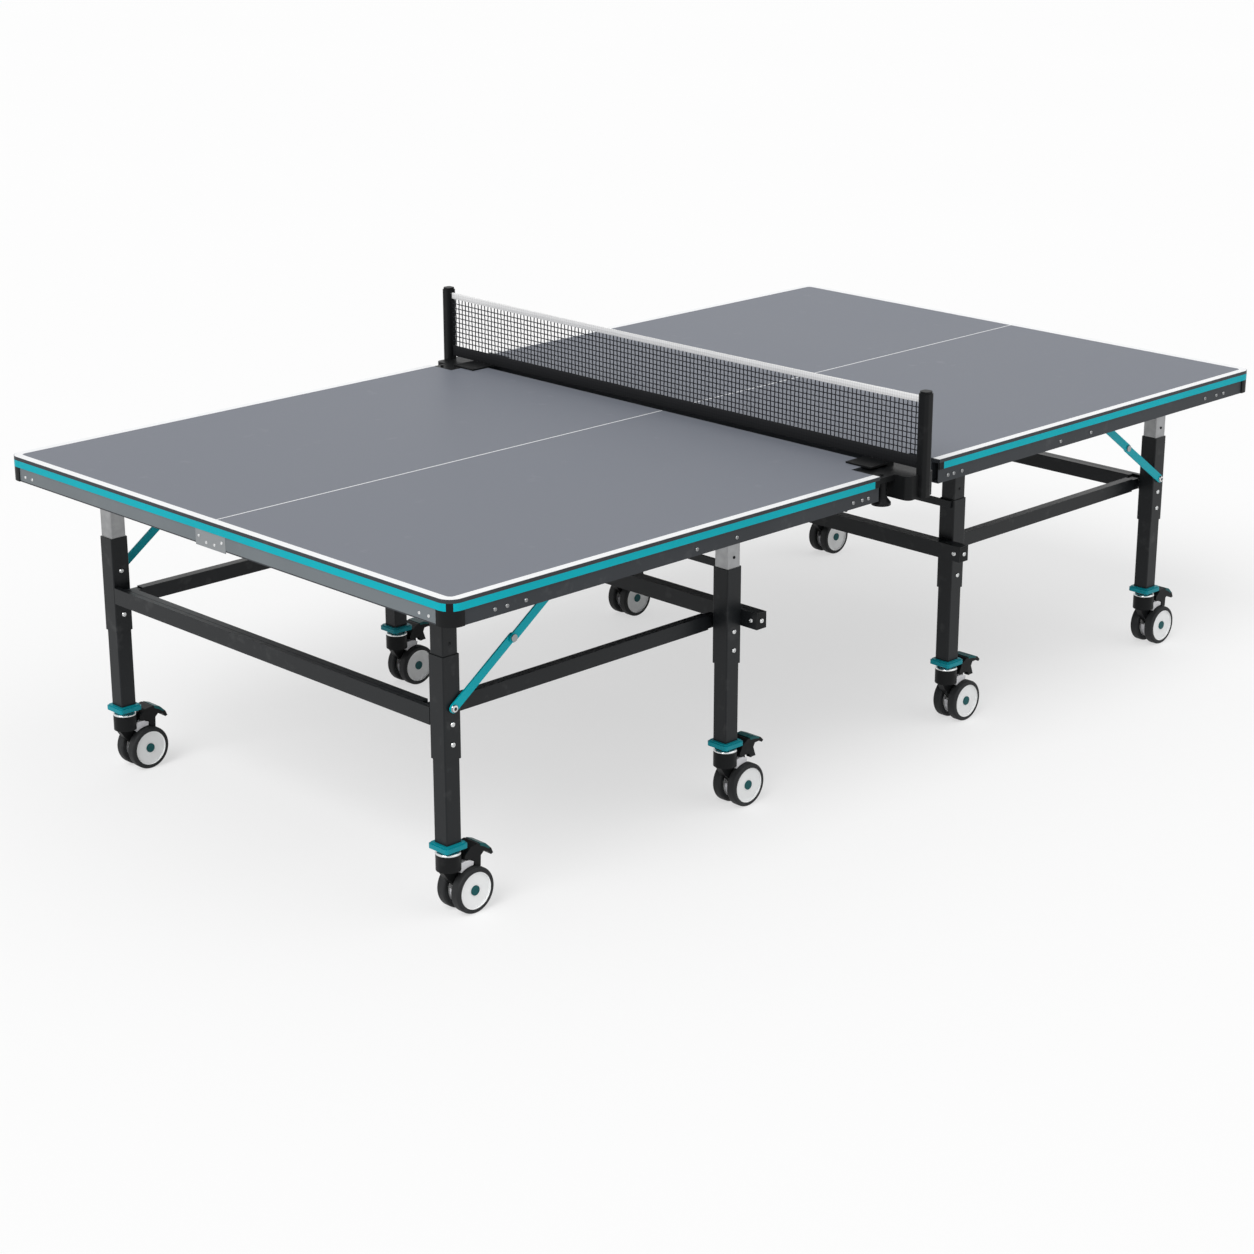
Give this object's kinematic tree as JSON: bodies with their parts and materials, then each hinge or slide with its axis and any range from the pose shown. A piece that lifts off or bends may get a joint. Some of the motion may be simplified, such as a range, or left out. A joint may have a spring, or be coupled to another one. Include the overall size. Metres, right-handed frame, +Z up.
{
  "type": "ping pong table",
  "caption": "Folding table tennis table in two halves: tilting boards, self-folding outer legs, side bars, braces, swivel casters with brakes and a clamped net.",
  "frame": {"origin": "on the floor under the middle of the net", "axes": "+X along the table's length, +Y across it, +Z up"},
  "size_m": [2.74, 1.628, 0.944],
  "materials": {
    "board_grey": "satin, fine grain",
    "apron_graphite": "powder coat",
    "trim_teal": "satin",
    "corner_black": "fine texture",
    "tube_black": "powder coat",
    "tube_silver": "galvanised",
    "foot_teal": "satin",
    "brace_teal": "powder coat",
    "caster_black": "moulded",
    "wheel_rubber": "matt",
    "net_black": "moulded",
    "net_mesh": "knotted cord",
    "tape_white": "woven",
    "tape_black": "woven"
  },
  "bodies": {
    "left_base": {"left_inner_legs": "tube_black", "left_inner_uppers": "tube_silver", "left_inner_feet": "foot_teal", "left_cross_bar": "tube_black"},
    "left_top": {"left_board": "board_grey", "left_apron": "apron_graphite", "left_trim": "trim_teal", "left_corners": "corner_black", "net_posts": "net_black", "net_mesh": "net_mesh", "net_top_tape": "tape_white", "net_bottom_tape": "tape_black"},
    "left_outer_frame": {"left_outer_legs": "tube_black", "left_outer_uppers": "tube_silver", "left_outer_feet": "foot_teal", "left_end_bar": "tube_black"},
    "left_side_bars_body": {"left_side_bars": "tube_black"},
    "left_brace_uppers_body": {"left_brace_uppers": "brace_teal"},
    "left_brace_lowers_body": {"left_brace_lowers": "brace_teal"},
    "left_outer_front_fork_body": {"left_outer_front_fork": "caster_black"},
    "left_outer_front_wheels_body": {"left_outer_front_wheels": "wheel_rubber"},
    "left_outer_front_pedal_body": {"left_outer_front_pedal": "caster_black"},
    "left_outer_back_fork_body": {"left_outer_back_fork": "caster_black"},
    "left_outer_back_wheels_body": {"left_outer_back_wheels": "wheel_rubber"},
    "left_outer_back_pedal_body": {"left_outer_back_pedal": "caster_black"},
    "left_inner_front_fork_body": {"left_inner_front_fork": "caster_black"},
    "left_inner_front_wheels_body": {"left_inner_front_wheels": "wheel_rubber"},
    "left_inner_front_pedal_body": {"left_inner_front_pedal": "caster_black"},
    "left_inner_back_fork_body": {"left_inner_back_fork": "caster_black"},
    "left_inner_back_wheels_body": {"left_inner_back_wheels": "wheel_rubber"},
    "left_inner_back_pedal_body": {"left_inner_back_pedal": "caster_black"},
    "right_base": {"right_inner_legs": "tube_black", "right_inner_uppers": "tube_silver", "right_inner_feet": "foot_teal", "right_cross_bar": "tube_black"},
    "right_top": {"right_board": "board_grey", "right_apron": "apron_graphite", "right_trim": "trim_teal", "right_corners": "corner_black"},
    "right_outer_frame": {"right_outer_legs": "tube_black", "right_outer_uppers": "tube_silver", "right_outer_feet": "foot_teal", "right_end_bar": "tube_black"},
    "right_side_bars_body": {"right_side_bars": "tube_black"},
    "right_brace_uppers_body": {"right_brace_uppers": "brace_teal"},
    "right_brace_lowers_body": {"right_brace_lowers": "brace_teal"},
    "right_outer_front_fork_body": {"right_outer_front_fork": "caster_black"},
    "right_outer_front_wheels_body": {"right_outer_front_wheels": "wheel_rubber"},
    "right_outer_front_pedal_body": {"right_outer_front_pedal": "caster_black"},
    "right_outer_back_fork_body": {"right_outer_back_fork": "caster_black"},
    "right_outer_back_wheels_body": {"right_outer_back_wheels": "wheel_rubber"},
    "right_outer_back_pedal_body": {"right_outer_back_pedal": "caster_black"},
    "right_inner_front_fork_body": {"right_inner_front_fork": "caster_black"},
    "right_inner_front_wheels_body": {"right_inner_front_wheels": "wheel_rubber"},
    "right_inner_front_pedal_body": {"right_inner_front_pedal": "caster_black"},
    "right_inner_back_fork_body": {"right_inner_back_fork": "caster_black"},
    "right_inner_back_wheels_body": {"right_inner_back_wheels": "wheel_rubber"},
    "right_inner_back_pedal_body": {"right_inner_back_pedal": "caster_black"},
    "front_knob": {"net_knob_front": "net_black"},
    "back_knob": {"net_knob_back": "net_black"}
  },
  "joints": [
    {"name": "left_tilt", "type": "hinge", "parent": "left_base", "child": "left_top", "pos_m": [-0.31, 0, 0.712], "axis": [0, 1, 0], "range_deg": [0, 90], "deforming": ["net_mesh", "net_top_tape"]},
    {"name": "left_legs_fold", "type": "hinge", "parent": "left_top", "child": "left_outer_frame", "pos_m": [-1.14, 0, 0.712], "axis": [0, 1, 0], "range_deg": [-90, 0]},
    {"name": "left_side_bars_turn", "type": "hinge", "parent": "left_base", "child": "left_side_bars_body", "pos_m": [-0.39, 0, 0.44], "axis": [0, 1, 0], "range_deg": [0, 90]},
    {"name": "left_brace_uppers_turn", "type": "hinge", "parent": "left_top", "child": "left_brace_uppers_body", "pos_m": [-0.875, 0, 0.712], "axis": [0, 1, 0], "range_deg": [0, 11.28]},
    {"name": "left_brace_lowers_turn", "type": "hinge", "parent": "left_outer_frame", "child": "left_brace_lowers_body", "pos_m": [-1.225, 0, 0.464], "axis": [0, 1, 0], "range_deg": [-57.58, 0]},
    {"name": "right_tilt", "type": "hinge", "parent": "right_base", "child": "right_top", "pos_m": [0.31, 0, 0.712], "axis": [0, -1, 0], "range_deg": [0, 90]},
    {"name": "right_legs_fold", "type": "hinge", "parent": "right_top", "child": "right_outer_frame", "pos_m": [1.14, 0, 0.712], "axis": [0, -1, 0], "range_deg": [-90, 0]},
    {"name": "right_side_bars_turn", "type": "hinge", "parent": "right_base", "child": "right_side_bars_body", "pos_m": [0.39, 0, 0.44], "axis": [0, -1, 0], "range_deg": [0, 90]},
    {"name": "right_brace_uppers_turn", "type": "hinge", "parent": "right_top", "child": "right_brace_uppers_body", "pos_m": [0.875, 0, 0.712], "axis": [0, -1, 0], "range_deg": [0, 11.28]},
    {"name": "right_brace_lowers_turn", "type": "hinge", "parent": "right_outer_frame", "child": "right_brace_lowers_body", "pos_m": [1.225, 0, 0.464], "axis": [0, -1, 0], "range_deg": [-57.58, 0]},
    {"name": "halves_roll_apart", "type": "slide", "parent": "left_base", "child": "right_base", "axis": [1, 0, 0], "range_m": [0, 0.3]},
    {"name": "left_outer_front_swivel", "type": "hinge", "parent": "left_outer_frame", "child": "left_outer_front_fork_body", "pos_m": [-1.225, -0.575, 0.149], "axis": [0, 0, 1], "continuous": true},
    {"name": "left_outer_front_roll", "type": "hinge", "parent": "left_outer_front_fork_body", "child": "left_outer_front_wheels_body", "pos_m": [-1.18, -0.575, 0.051], "axis": [0, 1, 0], "continuous": true},
    {"name": "left_outer_front_brake", "type": "hinge", "parent": "left_outer_front_fork_body", "child": "left_outer_front_pedal_body", "pos_m": [-1.191, -0.575, 0.128], "axis": [0, 1, 0], "range_deg": [-22, 0]},
    {"name": "left_outer_back_swivel", "type": "hinge", "parent": "left_outer_frame", "child": "left_outer_back_fork_body", "pos_m": [-1.225, 0.575, 0.149], "axis": [0, 0, 1], "continuous": true},
    {"name": "left_outer_back_roll", "type": "hinge", "parent": "left_outer_back_fork_body", "child": "left_outer_back_wheels_body", "pos_m": [-1.18, 0.575, 0.051], "axis": [0, 1, 0], "continuous": true},
    {"name": "left_outer_back_brake", "type": "hinge", "parent": "left_outer_back_fork_body", "child": "left_outer_back_pedal_body", "pos_m": [-1.191, 0.575, 0.128], "axis": [0, 1, 0], "range_deg": [-22, 0]},
    {"name": "left_inner_front_swivel", "type": "hinge", "parent": "left_base", "child": "left_inner_front_fork_body", "pos_m": [-0.395, -0.575, 0.149], "axis": [0, 0, 1], "continuous": true},
    {"name": "left_inner_front_roll", "type": "hinge", "parent": "left_inner_front_fork_body", "child": "left_inner_front_wheels_body", "pos_m": [-0.35, -0.575, 0.051], "axis": [0, 1, 0], "continuous": true},
    {"name": "left_inner_front_brake", "type": "hinge", "parent": "left_inner_front_fork_body", "child": "left_inner_front_pedal_body", "pos_m": [-0.361, -0.575, 0.128], "axis": [0, 1, 0], "range_deg": [0, 22]},
    {"name": "left_inner_back_swivel", "type": "hinge", "parent": "left_base", "child": "left_inner_back_fork_body", "pos_m": [-0.395, 0.575, 0.149], "axis": [0, 0, 1], "continuous": true},
    {"name": "left_inner_back_roll", "type": "hinge", "parent": "left_inner_back_fork_body", "child": "left_inner_back_wheels_body", "pos_m": [-0.35, 0.575, 0.051], "axis": [0, 1, 0], "continuous": true},
    {"name": "left_inner_back_brake", "type": "hinge", "parent": "left_inner_back_fork_body", "child": "left_inner_back_pedal_body", "pos_m": [-0.361, 0.575, 0.128], "axis": [0, 1, 0], "range_deg": [0, 22]},
    {"name": "right_outer_front_swivel", "type": "hinge", "parent": "right_outer_frame", "child": "right_outer_front_fork_body", "pos_m": [1.225, -0.575, 0.149], "axis": [0, 0, 1], "continuous": true},
    {"name": "right_outer_front_roll", "type": "hinge", "parent": "right_outer_front_fork_body", "child": "right_outer_front_wheels_body", "pos_m": [1.27, -0.575, 0.051], "axis": [0, 1, 0], "continuous": true},
    {"name": "right_outer_front_brake", "type": "hinge", "parent": "right_outer_front_fork_body", "child": "right_outer_front_pedal_body", "pos_m": [1.259, -0.575, 0.128], "axis": [0, 1, 0], "range_deg": [-22, 0]},
    {"name": "right_outer_back_swivel", "type": "hinge", "parent": "right_outer_frame", "child": "right_outer_back_fork_body", "pos_m": [1.225, 0.575, 0.149], "axis": [0, 0, 1], "continuous": true},
    {"name": "right_outer_back_roll", "type": "hinge", "parent": "right_outer_back_fork_body", "child": "right_outer_back_wheels_body", "pos_m": [1.27, 0.575, 0.051], "axis": [0, 1, 0], "continuous": true},
    {"name": "right_outer_back_brake", "type": "hinge", "parent": "right_outer_back_fork_body", "child": "right_outer_back_pedal_body", "pos_m": [1.259, 0.575, 0.128], "axis": [0, 1, 0], "range_deg": [-22, 0]},
    {"name": "right_inner_front_swivel", "type": "hinge", "parent": "right_base", "child": "right_inner_front_fork_body", "pos_m": [0.395, -0.575, 0.149], "axis": [0, 0, 1], "continuous": true},
    {"name": "right_inner_front_roll", "type": "hinge", "parent": "right_inner_front_fork_body", "child": "right_inner_front_wheels_body", "pos_m": [0.44, -0.575, 0.051], "axis": [0, 1, 0], "continuous": true},
    {"name": "right_inner_front_brake", "type": "hinge", "parent": "right_inner_front_fork_body", "child": "right_inner_front_pedal_body", "pos_m": [0.429, -0.575, 0.128], "axis": [0, 1, 0], "range_deg": [0, 22]},
    {"name": "right_inner_back_swivel", "type": "hinge", "parent": "right_base", "child": "right_inner_back_fork_body", "pos_m": [0.395, 0.575, 0.149], "axis": [0, 0, 1], "continuous": true},
    {"name": "right_inner_back_roll", "type": "hinge", "parent": "right_inner_back_fork_body", "child": "right_inner_back_wheels_body", "pos_m": [0.44, 0.575, 0.051], "axis": [0, 1, 0], "continuous": true},
    {"name": "right_inner_back_brake", "type": "hinge", "parent": "right_inner_back_fork_body", "child": "right_inner_back_pedal_body", "pos_m": [0.429, 0.575, 0.128], "axis": [0, 1, 0], "range_deg": [0, 22]},
    {"name": "front_knob_turn", "type": "hinge", "parent": "left_top", "child": "front_knob", "pos_m": [-0.077, -0.7445, 0.715], "axis": [0, 0, 1], "range_deg": [0, 360]},
    {"name": "back_knob_turn", "type": "hinge", "parent": "left_top", "child": "back_knob", "pos_m": [-0.077, 0.7445, 0.715], "axis": [0, 0, 1], "range_deg": [0, 360]}
  ],
  "couplings": [
    {"joint": "left_legs_fold", "follows": "left_tilt", "ratio": -1},
    {"joint": "left_side_bars_turn", "follows": "left_tilt", "ratio": 1},
    {"joint": "left_brace_uppers_turn", "follows": "left_tilt", "ratio": 0.12533},
    {"joint": "left_brace_lowers_turn", "follows": "left_tilt", "ratio": -0.63973},
    {"joint": "right_legs_fold", "follows": "right_tilt", "ratio": -1},
    {"joint": "right_side_bars_turn", "follows": "right_tilt", "ratio": 1},
    {"joint": "right_brace_uppers_turn", "follows": "right_tilt", "ratio": 0.12533},
    {"joint": "right_brace_lowers_turn", "follows": "right_tilt", "ratio": -0.63973}
  ]
}
